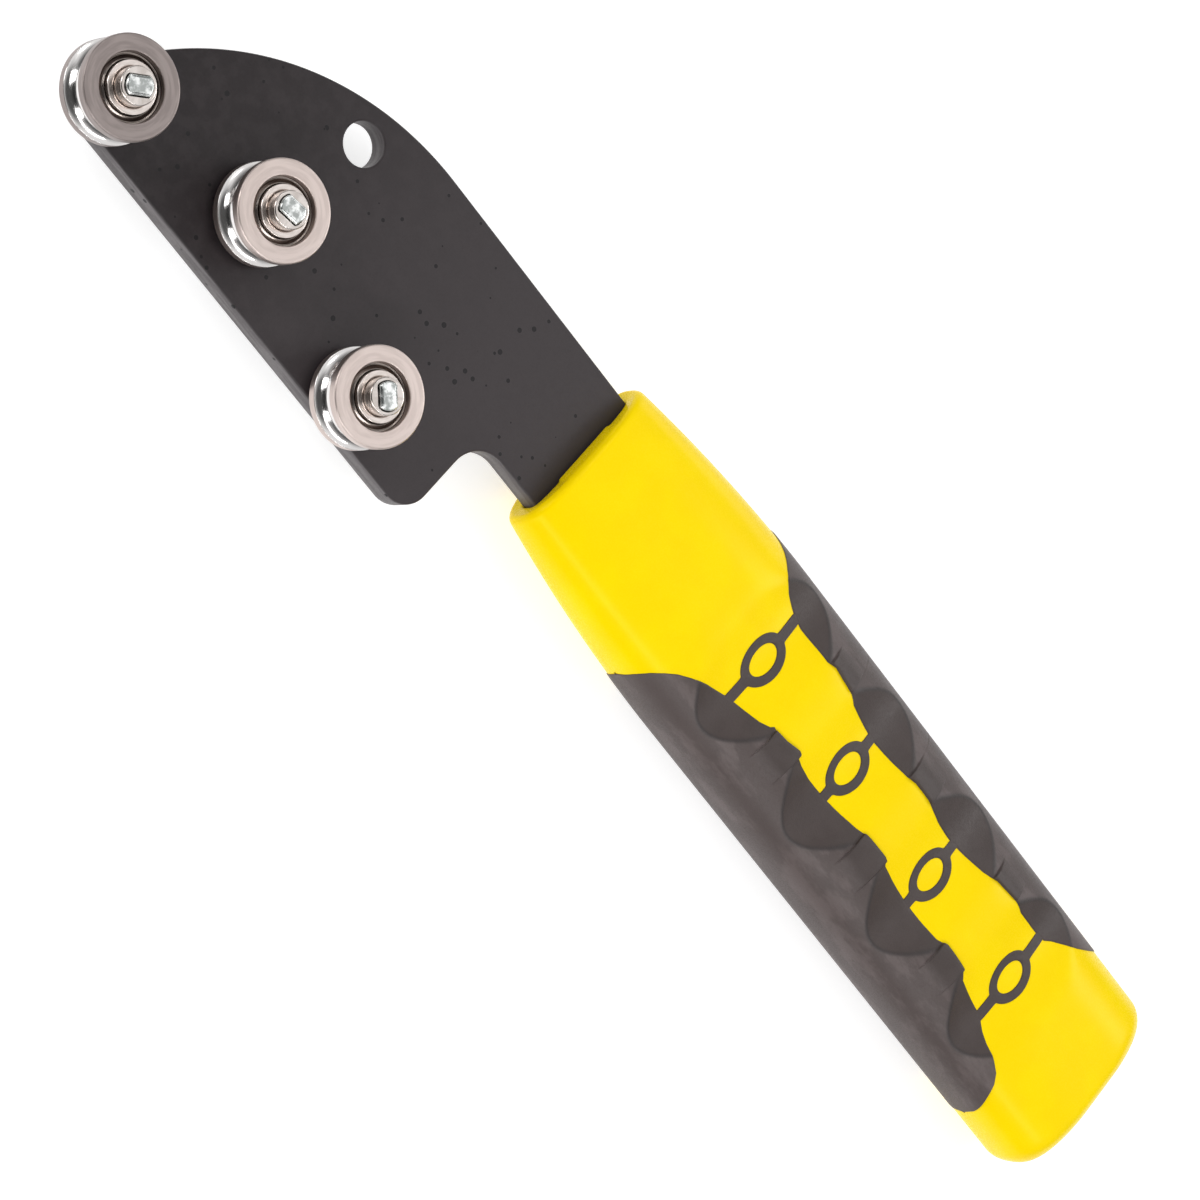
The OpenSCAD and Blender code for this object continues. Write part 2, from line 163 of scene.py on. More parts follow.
def makeStudio():
    # A flat square floor, the sky, and soft boxes that all point at the tool.
    half = studio["floorSize"] / 2
    mesh = bpy.data.meshes.new("floor")
    corners = [(-half, -half, 0), (half, -half, 0), (half, half, 0), (-half, half, 0)]
    mesh.from_pydata(corners, [], [(0, 1, 2, 3)])
    paper = bpy.data.materials.new("floorPaper")
    paper.use_nodes = True
    shader = paper.node_tree.nodes["Principled BSDF"].inputs
    shader["Base Color"].default_value = (*studio["floorColour"], 1)
    shader["Roughness"].default_value = studio["floorRough"]
    shader["Emission Color"].default_value = (1, 1, 1, 1)
    shader["Emission Strength"].default_value = studio["floorGlow"]
    mesh.materials.append(paper)
    addObject("floor", mesh)
    makeSky()
    for name, place, width, height, watts in studio["lights"]:
        data = bpy.data.lights.new(name, "AREA")
        data.shape, data.size, data.size_y, data.energy = "RECTANGLE", width, height, watts
        lamp = addObject(name, data)
        lamp.location = place
        lamp.rotation_euler = (Vector(studio["aim"]) - Vector(place)).to_track_quat("-Z", "Y").to_euler()
    bpy.context.scene.view_settings.view_transform = "Standard"  # plain colours, as a shop photograph has


makeCamera()
makeStudio()
print("camera and studio ready")


def newMesh(name, points, faces, smooth):
    # Points are in millimetres, and smooth says of each face whether it shades round.
    mesh = bpy.data.meshes.new(name)
    mesh.from_pydata((points.reshape(-1, 3) * mm).tolist(), [], faces)
    mesh.polygons.foreach_set("use_smooth", smooth)
    mesh.update()
    return mesh


def gridQuads(index, wrapU, wrapV):
    # Four corners for each cell of a grid of point numbers, in the order that faces along dU x dV.
    aheadU, aheadV = np.roll(index, -1, 0), np.roll(index, -1, 1)
    quads = np.stack([index, aheadU, np.roll(aheadU, -1, 1), aheadV], -1)
    if not wrapU:
        quads = quads[:-1]
    if not wrapV:
        quads = quads[:, :-1]
    return quads.reshape(-1, 4).tolist()


def surfaceMesh(name, points, wrapU=False, wrapV=False, capStart=False, capEnd=False):
    # A grid of points[u, v] becomes quads whose faces point along dU x dV.
    # wrapU and wrapV close the grid on itself, and the caps close its first and last v rows.
    countU, countV = points.shape[:2]
    index = np.arange(countU * countV).reshape(countU, countV)
    faces = gridQuads(index, wrapU, wrapV)
    if capStart:
        faces.append(index[::-1, 0].tolist())
    if capEnd:
        faces.append(index[:, -1].tolist())
    return newMesh(name, points, faces, np.ones(len(faces), bool))


def markPoints(mesh, label, values):
    # Stores a number or a vector at each point, for a material to read.
    kind, key = ("FLOAT_VECTOR", "vector") if values.ndim == 3 else ("FLOAT", "value")
    values = values.reshape(-1).astype(np.float32)
    mesh.attributes.new(label, kind, "POINT").data.foreach_set(key, values)


def addPiece(mesh, body, slot, node, *materials):
    # Puts a mesh into the scene in the place of a CAD node, riding on a body.
    for material in materials:
        mesh.materials.append(material)
    piece = addObject(mesh.name, mesh)
    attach(piece, body)
    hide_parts(node)


def roundedLoop(corners, steps=4):
    # Corners are (radius, height, rounding). An arc replaces each: its middle lies on the corner's bisector,
    # radius / sin(half the corner's angle) away, and it takes at most a share of both sides it touches.
    # One more point stands just before and after the arc, so that the flats beside it shade flat.
    sideShare, beside = 0.45, 0.02
    out = []
    for i, (r, z, rounding) in enumerate(corners):
        here = np.array([r, z])
        if rounding <= 0:
            out.append(here)
            continue
        before = np.array(corners[i - 1][:2]) - here
        after = np.array(corners[(i + 1) % len(corners)][:2]) - here
        lengthBefore, lengthAfter = np.linalg.norm(before), np.linalg.norm(after)
        before, after = before / lengthBefore, after / lengthAfter
        half = np.arccos(np.clip(before @ after, -1, 1)) / 2
        reach = min(rounding / np.tan(half), sideShare * lengthBefore, sideShare * lengthAfter)
        radius = reach * np.tan(half)
        middle = here + (before + after) / np.linalg.norm(before + after) * radius / np.sin(half)
        start, end = here + before * reach, here + after * reach
        angleStart = np.arctan2(*(start - middle)[::-1])
        sweep = (np.arctan2(*(end - middle)[::-1]) - angleStart + np.pi) % (2 * np.pi) - np.pi
        angle = angleStart + sweep * np.arange(steps + 1) / steps
        out.append(start + before * beside)
        out += list(middle + radius * np.stack([np.cos(angle), np.sin(angle)], -1))
        out.append(end + after * beside)
    return np.array(out)


def turnedMesh(name, loop, centre, turns=160, stretch=None, closed=True):
    # A profile of (radius, height) points is carried round the axle: x = r cos(turn), y = r sin(turn).
    # stretch(turn, r, z) may change the radius with the turn, as for a hexagon or two flats.
    # A closed profile makes a ring; an open one runs from near the axle to near the axle and is capped.
    turn = np.linspace(0, 2 * np.pi, turns, endpoint=False) if isinstance(turns, int) else turns
    turn = turn[:, None]
    radius, height = loop[:, 0][None, :] + 0 * turn, loop[:, 1][None, :] + 0 * turn
    if stretch:
        radius = stretch(turn, radius, height)
    points = np.stack([centre[0] + radius * np.cos(turn), centre[1] + radius * np.sin(turn), height], -1)
    mesh = surfaceMesh(name, points, wrapU=True, wrapV=closed, capStart=not closed, capEnd=not closed)
    # The lathe's rings follow the turn and the way along the profile.
    along = np.concatenate([[0], np.cumsum(np.linalg.norm(np.diff(loop, axis=0), axis=1))])
    markPoints(mesh, "lathe", np.stack(np.broadcast_arrays(np.cos(turn), np.sin(turn), along[None, :]), -1))
    return mesh


def maths(tree, operation, first, second=0.0):
    # One step of arithmetic on numbers or sockets.
    return put(tree, "Math", {0: first, 1: second}, operation=operation).outputs[0]


def linear(tree, start, gain, value):
    # start + gain * value
    return maths(tree, "ADD", start, maths(tree, "MULTIPLY", value, gain))


def stretched(tree, vector, scale):
    # Each axis of a vector times its own scale.
    return put(tree, "VectorMath", {0: vector, 1: scale}, operation="MULTIPLY").outputs[0]


def mixColour(tree, share, first, second):
    # first * (1 - share) + second * share; a colour is three numbers or another node's socket.
    first, second = ((*colour, 1) if isinstance(colour, tuple) else colour for colour in (first, second))
    return put(tree, "Mix", {0: share, 6: first, 7: second}, data_type="RGBA").outputs[2]


def noise(tree, vector, scale, detail=2.0, roughness=0.5):
    # Soft noise from 0 to 1, with this many patches to a metre.
    values = {"Vector": vector, "Scale": scale, "Detail": detail, "Roughness": roughness}
    return put(tree, "TexNoise", values).outputs[0]


def makeGroup(name, inputs, outputs):
    # A node group with named inputs (label, kind, value) and number outputs.
    group = bpy.data.node_groups.new(name, "ShaderNodeTree")
    for label, kind, value in inputs:
        socket = group.interface.new_socket(name=label, in_out="INPUT", socket_type="NodeSocket" + kind)
        if value is not None:
            socket.default_value = value
    for label in outputs:
        group.interface.new_socket(name=label, in_out="OUTPUT", socket_type="NodeSocketFloat")
    return group, group.nodes.new("NodeGroupInput").outputs, group.nodes.new("NodeGroupOutput").inputs


def useGroup(tree, group, inputs):
    # Places a node group with its own values.
    return put(tree, "Group", inputs, node_tree=group).outputs


def grainGroup():
    # Fine moulded or sprayed grain: two noises, one five times as fine as the other.
    group, given, out = makeGroup(
        "fineGrain",
        [("Vector", "Vector", None), ("Size", "Float", 0.5), ("Unevenness", "Float", 0.5)],
        ["Height", "Mask"])
    scale = maths(group, "DIVIDE", 1000.0, given["Size"])
    coarse = noise(group, given["Vector"], scale, 3.0, 0.55)
    fine = noise(group, given["Vector"], maths(group, "MULTIPLY", scale, 5.0), 1.0)
    height = linear(group, maths(group, "MULTIPLY", coarse, given["Unevenness"]), 0.4, fine)
    group.links.new(height, out["Height"])
    group.links.new(spread(group, coarse, 0.4, 0.65), out["Mask"])
    return group


def streakGroup():
    # Long soft marks along one direction: noise over a vector that is squeezed along it.
    group, given, out = makeGroup(
        "longStreaks",
        [("Vector", "Vector", None), ("Squeeze", "Vector", (60, 700, 700)), ("Amount", "Float", 0.5)],
        ["Mask"])
    marks = noise(group, stretched(group, given["Vector"], given["Squeeze"]), 1.0, 4.0, 0.6)
    low = maths(group, "SUBTRACT", 0.72, maths(group, "MULTIPLY", given["Amount"], 0.35))
    group.links.new(spread(group, marks, low, maths(group, "ADD", low, 0.16)), out["Mask"])
    return group


def speckleGroup():
    # Scattered dots: the distance to Voronoi cell points, kept only where it is under the dot's size,
    # which is uneven, and only in a share of the cells.
    group, given, out = makeGroup(
        "speckles",
        [("Vector", "Vector", None), ("Spacing", "Float", 1.5), ("Dot", "Float", 0.1),
         ("Share", "Float", 0.4)],
        ["Mask"])
    scale = maths(group, "DIVIDE", 1000.0, given["Spacing"])
    cells = put(group, "TexVoronoi", {"Vector": given["Vector"], "Scale": scale}).outputs
    chance = put(group, "SeparateColor", {0: cells["Color"]}).outputs
    size = maths(group, "MULTIPLY", given["Dot"], maths(group, "ADD", 0.5, chance[1]))
    dots = maths(group, "LESS_THAN", cells["Distance"], size)
    chosen = maths(group, "LESS_THAN", chance[0], given["Share"])
    group.links.new(maths(group, "MULTIPLY", dots, chosen), out["Mask"])
    return group


def latheGroup():
    # Rings left by a lathe: noise that changes fast along the profile and slowly round the axle.
    group, given, out = makeGroup(
        "latheRings", [("Pitch", "Float", 0.08), ("Clouds", "Float", 1.0)], ["Height", "Cloud"])
    turned = put(group, "Attribute", attribute_name="lathe").outputs["Vector"]
    across = put(group, "CombineXYZ", {0: 0.7, 1: 0.7, 2: maths(group, "DIVIDE", 1.0, given["Pitch"])})
    group.links.new(noise(group, stretched(group, turned, across.outputs[0]), 1.0), out["Height"])
    group.links.new(noise(group, turned, given["Clouds"]), out["Cloud"])
    return group


grain, streaks, speckles, latheRings = grainGroup(), streakGroup(), speckleGroup(), latheGroup()


def newMaterial(name, **sockets):
    # A Principled material with plain values on its sockets, and the place on the piece that patterns follow.
    material = bpy.data.materials.new(name)
    material.use_nodes = True
    tree = material.node_tree
    shader = tree.nodes["Principled BSDF"]
    for key, value in sockets.items():
        shader.inputs[key.replace("_", " ")].default_value = value
    return material, tree, put(tree, "TexCoord").outputs["Object"]


def dress(tree, colour, rough, height, bump):
    # Links a finish to its shader; bump is its strength and its depth in metres.
    strength, depth = bump
    raised = put(tree, "Bump", {"Height": height, "Strength": strength, "Distance": depth}).outputs[0]
    shader = tree.nodes["Principled BSDF"].inputs
    for socket, value in (("Base Color", colour), ("Roughness", rough), ("Normal", raised)):
        tree.links.new(value, shader[socket])


paintLook = {
    "specular": 0.30, "rough": 0.42, "roughSpread": 0.12, "toothSize": 0.35, "bump": (0.25, 0.00006),
    # tang and nose: painted shade, the paint paler at the tang and darker at the nose under the rollers
    "tang": (0.036, 0.029, 0.031), "nose": (0.011, 0.007, 0.008), "fade": (0.045, 0.125),  # X in metres
    "cloud": (0.040, 0.032, 0.034), "cloudSize": 3.0, "cloudShare": 0.25,
    # edge: paler cut edges, partly rubbed paint and partly a painted sheen of the light on the edge faces
    "edge": (0.155, 0.142, 0.145), "edgeSheenShare": 0.45, "rubbedShare": 0.4, "edgeFrom": 0.2, "edgeTo": 0.97,
    "pit": (0.003, 0.002, 0.003), "pitShare": 0.9, "pitDeep": 1.2,
    # the size of the cells, of a dot in its cell, and the share of cells that have one
    "pitSpacing": 2.4, "pitSize": 0.13, "pitCells": 0.45,
}


def platePaint():
    # Satin black paint: faint clouds, small pits, and painted shade that darkens it from tang to nose.
    # Its cut edges and their corners, found from how far a face leans away from level, are paler: partly
    # rubbed paint, partly a painted sheen of the light on the edge faces.
    look = paintLook
    material, tree, place = newMaterial("plateBlackPaint", Specular_IOR_Level=look["specular"])
    clouds = useGroup(tree, grain, {"Vector": place, "Size": look["cloudSize"], "Unevenness": 1.0})["Mask"]
    tooth = useGroup(tree, grain, {"Vector": place, "Size": look["toothSize"], "Unevenness": 0.8})
    dots = {"Vector": place, "Spacing": look["pitSpacing"], "Dot": look["pitSize"], "Share": look["pitCells"]}
    pits = useGroup(tree, speckles, dots)["Mask"]
    rubbed = useGroup(tree, streaks, {"Vector": place, "Squeeze": (90, 90, 900), "Amount": 0.8})["Mask"]
    normal = put(tree, "NewGeometry").outputs["Normal"]
    level = maths(tree, "ABSOLUTE", put(tree, "SeparateXYZ", {0: normal}).outputs[2])
    edge = spread(tree, level, look["edgeFrom"], look["edgeTo"], 1.0, 0.0)
    # Painted shade: the paint darkens from the tang towards the nose, where less light falls.
    noseShadeShare = spread(tree, put(tree, "SeparateXYZ", {0: place}).outputs[0], *look["fade"])
    # Partly wear, partly painted sheen: the cut edges are paler, more so in rubbed streaks.
    edgeWearAndSheen = maths(tree, "MULTIPLY", edge, linear(tree, look["edgeSheenShare"], look["rubbedShare"], rubbed))
    colour = mixColour(tree, noseShadeShare, look["tang"], look["nose"])
    colour = mixColour(tree, maths(tree, "MULTIPLY", clouds, look["cloudShare"]), colour, look["cloud"])
    colour = mixColour(tree, edgeWearAndSheen, colour, look["edge"])
    colour = mixColour(tree, maths(tree, "MULTIPLY", pits, look["pitShare"]), colour, look["pit"])
    height = maths(tree, "SUBTRACT", tooth["Height"], maths(tree, "MULTIPLY", pits, look["pitDeep"]))
    dress(tree, colour, linear(tree, look["rough"], look["roughSpread"], tooth["Mask"]), height, look["bump"])
    return material


plasticLook = {
    "specular": 0.16, "tint": (1.0, 0.92, 0.35, 1.0), "rough": 0.25, "roughSpread": 0.05, "scuffed": 0.1,
    "deep": (0.975, 0.70, 0.0), "bright": (0.99, 0.725, 0.0), "cloudSize": 9.0,
    "toothSize": 0.3, "bump": (0.12, 0.00004),
}


def yellowPlastic():
    # Smooth moulded plastic with a soft gloss, a very fine grain and faint clouds of a deeper yellow.
    look = plasticLook
    material, tree, place = newMaterial(
        "handleYellowPlastic", Specular_IOR_Level=look["specular"], Specular_Tint=look["tint"])
    clouds = useGroup(tree, grain, {"Vector": place, "Size": look["cloudSize"], "Unevenness": 1.0})["Mask"]
    tooth = useGroup(tree, grain, {"Vector": place, "Size": look["toothSize"], "Unevenness": 0.6})
    scuffs = useGroup(tree, streaks, {"Vector": place, "Squeeze": (150, 900, 900), "Amount": 0.1})["Mask"]
    rough = linear(tree, look["rough"], look["roughSpread"], tooth["Mask"])
    rough = linear(tree, rough, look["scuffed"], scuffs)
    dress(tree, mixColour(tree, clouds, look["deep"], look["bright"]), rough, tooth["Height"], look["bump"])
    return material


rubberLook = {
    "specular": 0.5, "rough": 0.44, "roughSpread": 0.14, "toothSize": 0.28, "bump": (0.35, 0.00007),
    "base": (0.043, 0.029, 0.026), "clouded": (0.050, 0.035, 0.032), "cloudSize": 6.0,
    # pale: a painted sheen in long streaks on the grip's rounded side, for the light that falls there
    "pale": (0.102, 0.077, 0.074), "paleSheenShare": 0.40, "sheenStreakShare": 0.55,
    # a painted shade along the crease round each hollow
    "creaseShade": (0.016, 0.012, 0.012), "creaseShadeShare": 0.75,
}


def greyRubber():
    # Brownish grey soft grip, pebbled. Outside its flat panels it is paler in long streaks: painted sheen
    # of the light on its rounded side. Along the crease round each hollow it is darker: painted shade.
    look = rubberLook
    material, tree, place = newMaterial("gripGreyRubber", Specular_IOR_Level=look["specular"])
    tooth = useGroup(tree, grain, {"Vector": place, "Size": look["toothSize"], "Unevenness": 0.9})
    clouds = useGroup(tree, grain, {"Vector": place, "Size": look["cloudSize"], "Unevenness": 1.0})["Mask"]
    sideSheenStreaks = useGroup(tree, streaks, {"Vector": place, "Squeeze": (90, 240, 240), "Amount": 0.75})["Mask"]
    panel, creaseShade = (put(tree, "Attribute", attribute_name=label).outputs["Fac"] for label in ("panel", "creaseShade"))
    side = maths(tree, "SUBTRACT", 1.0, panel)
    # Painted sheen: the rounded side outside the panels is paler, in long streaks, as the side light falls on it.
    pale = maths(tree, "MULTIPLY", side, linear(tree, look["paleSheenShare"], look["sheenStreakShare"], sideSheenStreaks))
    colour = mixColour(tree, clouds, look["base"], look["clouded"])
    colour = mixColour(tree, pale, colour, look["pale"])
    # Painted shade: darker along the crease round each hollow.
    colour = mixColour(tree, maths(tree, "MULTIPLY", creaseShade, look["creaseShadeShare"]), colour, look["creaseShade"])
    rough = linear(tree, look["rough"], look["roughSpread"], tooth["Mask"])
    dress(tree, colour, rough, tooth["Height"], look["bump"])
    return material


# colour, paler colour, roughness, how much the rings vary it, the rings' pitch and the strength of their bump
turnedLooks = {
    "rollerSatinFace": ((0.55, 0.468, 0.435), (0.63, 0.54, 0.505), 0.30, 0.14, 0.06, 0.5),
    # a darker copy of the satin face for the front roller: painted shade, as its face mirrors less light
    "rollerFacePaintedShade": ((0.26, 0.222, 0.212), (0.32, 0.275, 0.262), 0.32, 0.14, 0.06, 0.5),
    "rollerPolishedGroove": ((0.70, 0.68, 0.67), (0.78, 0.76, 0.75), 0.10, 0.10, 0.12, 0.25),
    "ringGroundSteel": ((0.66, 0.59, 0.55), (0.78, 0.71, 0.67), 0.16, 0.12, 0.08, 0.35),
    # the shield's dark colour is partly its own and partly painted shade of the recess it sits in
    "shieldPressedSteel": ((0.21, 0.182, 0.166), (0.32, 0.28, 0.256), 0.16, 0.12, 0.1, 0.4),
    "collarTurnedSteel": ((0.58, 0.525, 0.49), (0.74, 0.685, 0.65), 0.14, 0.12, 0.09, 0.4),
}
# colour, paler colour, roughness, size of the grain
plainLooks = {
    "axleBrightSteel": ((0.40, 0.42, 0.41), (0.93, 0.95, 0.94), 0.20, 1.3),
    "zincPlatedSteel": ((0.52, 0.52, 0.54), (0.62, 0.62, 0.63), 0.28, 0.5),
    "ballPolishedSteel": ((0.78, 0.78, 0.80), (0.84, 0.84, 0.86), 0.06, 1.0),
    "cageBrass": ((0.60, 0.44, 0.18), (0.68, 0.52, 0.24), 0.24, 0.6),
}


def turnedSteel(name, colour, paler, rough, roughSpread, pitch, strength):
    # Bare steel off a lathe: fine rings, and clouds in its colour. Both follow the piece's lathe attribute.
    material, tree = newMaterial(name, Metallic=1.0)[:2]
    rings = useGroup(tree, latheRings, {"Pitch": pitch, "Clouds": 1.6})
    mixed = mixColour(tree, spread(tree, rings["Cloud"], 0.35, 0.65), colour, paler)
    height = rings["Height"]
    dress(tree, mixed, linear(tree, rough, roughSpread, height), height, (strength, 0.00002))
    return material


def plainMetal(name, colour, paler, rough, size):
    # Plated or pressed metal with a fine uneven grain.
    material, tree, place = newMaterial(name, Metallic=1.0)
    tooth = useGroup(tree, grain, {"Vector": place, "Size": size, "Unevenness": 1.0})
    mixed = mixColour(tree, tooth["Mask"], colour, paler)
    dress(tree, mixed, linear(tree, rough, 0.12, tooth["Mask"]), tooth["Height"], (0.2, 0.00003))
    return material


plateBlack, handleYellow, gripGrey = platePaint(), yellowPlastic(), greyRubber()
metals = {name: turnedSteel(name, *look) for name, look in turnedLooks.items()}
metals.update({name: plainMetal(name, *look) for name, look in plainLooks.items()})
print("finishes ready")


plateShape = {
    "tangWidth": 24.1, "innerTangWidth": 17.0, "innerTangLength": 112.0, "mouthDepth": 4.0,
    "tangRound": 1.0, "shoulderRound": 0.5,
    "straightEdge": 31.0, "tabBack": 51.3, "tabRound": 5.0, "notchRound": 6.0,
    "noseRound": 57.0, "noseStart": 19.5, "noseTipRound": 5.5,
    "hangHole": (-4.6, -3.4, 3.6), "axleHole": 2.52, "edgeRound": 0.4,
    "noseSteps": (80, 24), "cornerSteps": 14, "holeSteps": 72, "edgeSteps": 6,
}


def plateOutline():
    # Straight sides and round corners, and for the nose one long circular arc that a small one ends,
    # both touching: their middles are the difference of their radii apart. Counterclockwise from above.
    s = plateShape
    half, inner = s["tangWidth"] / 2, s["innerTangWidth"] / 2
    rootX = mouthX - headX - s["mouthDepth"]
    tailX = mouthX - headX - s["innerTangLength"]
    middle = np.array([-s["noseStart"], s["noseRound"] - half])
    tipY, reach = s["straightEdge"] - s["noseTipRound"], s["noseRound"] - s["noseTipRound"]
    tip = np.array([middle[0] + np.sqrt(reach**2 - (middle[1] - tipY) ** 2), tipY])
    meet = np.arctan2(*(tip - middle)[::-1])
    longSweep = np.linspace(-np.pi / 2, meet, s["noseSteps"][0])
    tipSweep = np.linspace(meet, np.pi / 2, s["noseSteps"][1])[1:]
    tangRound, shoulderRound = s["tangRound"], s["shoulderRound"]
    corners = [(tailX, -inner, tangRound), (rootX, -inner, tangRound), (rootX, -half, shoulderRound)]
    for centre, radius, sweep in ((middle, s["noseRound"], longSweep), (tip, s["noseTipRound"], tipSweep)):
        corners += [(centre[0] + radius * np.cos(a), centre[1] + radius * np.sin(a), 0.0) for a in sweep]
    corners += [(-s["tabBack"], s["straightEdge"], s["tabRound"]), (-s["tabBack"], half, s["notchRound"])]
    corners += [(rootX, half, shoulderRound), (rootX, inner, tangRound), (tailX, inner, tangRound)]
    return roundedLoop(corners, s["cornerSteps"]) + np.array([headX, axisY])


def circlePath(centre, radius):
    # A circle that runs clockwise, so that its wall faces into the hole.
    turn = -np.linspace(0, 2 * np.pi, plateShape["holeSteps"], endpoint=False)
    return np.stack([centre[0] + radius * np.cos(turn), centre[1] + radius * np.sin(turn)], -1)


def rimGrid(path, lowZ, highZ, rounding):
    # A wall with a quarter round at both edges is carried along a closed path: points move in from the path,
    # square to the mean of its two directions there, by the profile's inset.
    leastLean = 0.4
    ahead, behind = np.roll(path, -1, 0) - path, path - np.roll(path, 1, 0)
    ahead, behind = (way / np.linalg.norm(way, axis=1)[:, None] for way in (ahead, behind))
    tangent = ahead + behind
    tangent /= np.linalg.norm(tangent, axis=1)[:, None]
    lean = 1 / np.clip((tangent * ahead).sum(1), leastLean, 1)
    outward = np.stack([tangent[:, 1], -tangent[:, 0]], -1) * lean[:, None]
    arc = np.linspace(0, np.pi / 2, plateShape["edgeSteps"])
    early, late = rounding * (1 - np.cos(arc)), rounding * (1 - np.sin(arc))
    inset, height = np.concatenate([late, early]), np.concatenate([lowZ + early, highZ - late])
    flat = path[:, None, :] - outward[:, None, :] * inset[None, :, None]
    return np.concatenate([flat, np.broadcast_to(height[None, :, None], flat.shape[:2] + (1,))], -1)


def makePlate():
    # The walls of the outline and of each hole, closed above and below by one flat face cut into triangles.
    s = plateShape
    hangX, hangY, hangRadius = s["hangHole"]
    paths = [plateOutline(), circlePath((headX + hangX, axisY + hangY), hangRadius)]
    paths += [circlePath(axleAt[name], s["axleHole"]) for name in rollerNames]
    vertices, faces, first, topLoops, lowLoops = [], [], 0, [], []
    for path in paths:
        grid = rimGrid(path, plateLow[2], plateHigh[2], s["edgeRound"])
        index = first + np.arange(grid[..., 0].size).reshape(grid.shape[:2])
        faces += gridQuads(index, True, False)
        vertices.append(grid.reshape(-1, 3))
        topLoops.append(index[:, -1])
        lowLoops.append(index[:, 0])
        first += index.size
    points = np.concatenate(vertices)
    rimFaces = len(faces)
    for loops, upward in ((topLoops, True), (lowLoops, False)):
        flat = np.concatenate(loops)
        triangles = np.array(tessellate_polygon([[Vector(points[i]) for i in loop] for loop in loops]))
        a, b, c = (points[flat[triangles[:, k]]][:, :2] for k in range(3))
        area = (b[:, 0] - a[:, 0]) * (c[:, 1] - a[:, 1]) - (b[:, 1] - a[:, 1]) * (c[:, 0] - a[:, 0])
        wrong = (area > 0) != upward
        triangles[wrong] = triangles[wrong][:, ::-1]
        faces += flat[triangles].tolist()
    mesh = newMesh("headPlate", points, faces, np.arange(len(faces)) < rimFaces)
    addPiece(mesh, "frame", "plate_black", "frame_plate", plateBlack)


makePlate()
print("head plate made")


handleShape = {
    "mouthWidth": 31.2, "mouthThick": 13.0, "mouthRound": 1.2, "bodyWidth": 37.6, "bodyThick": 19.4,
    "swellLength": 45.0, "squareness": 2.6, "buttRound": 5.0, "buttSideRound": 5.0,
    # the rounded sides are a little fuller than the flat of the ridges, which they meet softly
    "ridgeFlat": 1.02, "ridgeBlend": 0.15,
    # scoops: their middles behind the middle axle, depth, half length, fall at the sides, softness of the rim
    "links": (112.1, 137.15, 162.4, 187.5), "scoopDepth": 1.8, "scoopHalf": 12.5, "sideFall": 1.7,
    "blend": 0.5,
    # the mouth's opening for the tang, and the lip that steps forward over it
    "openingHalf": (12.35, 2.6), "openingSquareness": 5.0, "openingDepth": 4.0,
    "lipStep": 0.6, "lipHalf": 6.4, "lipEnd": 0.4,
    # the rings over the mouth's face: share of the way in to the opening, and step along x
    "mouthRings": [(0.3, 0), (0.7, 0), (0.88, 0), (0.97, -0.10), (1.0, -0.35), (1.0, -1.2)],
    "turns": 220, "buttSteps": 16, "bodySteps": 210, "mouthSteps": 7,
}


def endRounding(distance, radius):
    # How far a quarter circle lies inside its square corner, at a distance from the end.
    d = np.clip(distance, 0, radius)
    return radius - np.sqrt(np.maximum(radius**2 - (radius - d) ** 2, 0))


def handleHalves(x):
    # Half width and half thickness at x: both grow over the swell by 1 - (1 - share)^2, and are rounded
    # at the ends.
    s = handleShape
    grown = 1 - (1 - np.clip((mouthX - x) / s["swellLength"], 0, 1)) ** 2
    rounded = endRounding(mouthX - x, s["mouthRound"])
    width = (s["mouthWidth"] + (s["bodyWidth"] - s["mouthWidth"]) * grown) / 2
    thick = (s["mouthThick"] + (s["bodyThick"] - s["mouthThick"]) * grown) / 2
    width = width - endRounding(x - buttX, s["buttRound"]) - rounded
    thick = thick - endRounding(x - buttX, s["buttSideRound"]) - rounded
    return width, thick


def scoopDepth(x):
    # Four cosine-squared hollows, one at each link.
    s = handleShape
    depth = np.zeros_like(x)
    for link in s["links"]:
        d = np.clip(np.abs(x - (headX - link)) / s["scoopHalf"], 0, 1)
        depth = np.maximum(depth, s["scoopDepth"] * np.cos(np.pi / 2 * d) ** 2)
    return depth


def faceHeight(x, across):
    # Height of the scooped face over the handle's middle: it falls with the square of the way across.
    s = handleShape
    depth = scoopDepth(x)
    share = 2 * across / s["bodyWidth"]
    return s["bodyThick"] / 2 - depth - s["sideFall"] * depth / s["scoopDepth"] * share**2


def softLower(a, b, blend):
    # The lower of two values, with a parabola between them where they differ by less than the blend.
    h = np.maximum(blend - np.abs(a - b), 0) / blend
    return np.minimum(a, b) - h * h * blend / 4


def superWave(wave, squareness):
    # A cosine or sine to the power 2 / squareness, its sign kept, which squares up a circle.
    return np.sign(wave) * np.abs(wave) ** (2 / squareness)


def sideHeight(thick, turn):
    # The superellipse's height at a turn, cut softly at the flat of the ridges.
    s = handleShape
    wave = superWave(np.abs(np.sin(turn)), s["squareness"])
    return softLower(s["ridgeFlat"] * thick * wave, thick, s["ridgeBlend"])


def handlePoint(x, turn, blend):
    # A superellipse section at x, turn 0 at +Y, whose top and bottom are cut by the scooped faces.
    width, thick = handleHalves(x)
    y = width * superWave(np.cos(turn), handleShape["squareness"])
    height = softLower(sideHeight(thick, turn), faceHeight(x, y), blend)
    return np.stack([x, axisY + y, middleZ + np.sign(np.sin(turn)) * height], -1)


def handleLifted(x, turn, lift, blend):
    # The same surface moved out along its own normal, found from its slopes along x and round the section.
    step, least = 1e-3, 1e-12
    point = handlePoint(x, turn, blend)
    alongX = handlePoint(x + step, turn, blend) - handlePoint(x - step, turn, blend)
    alongTurn = handlePoint(x, turn + step, blend) - handlePoint(x, turn - step, blend)
    normal = np.cross(alongTurn, alongX)
    normal /= np.maximum(np.linalg.norm(normal, axis=-1, keepdims=True), least)
    return point + normal * np.asarray(lift)[..., None]


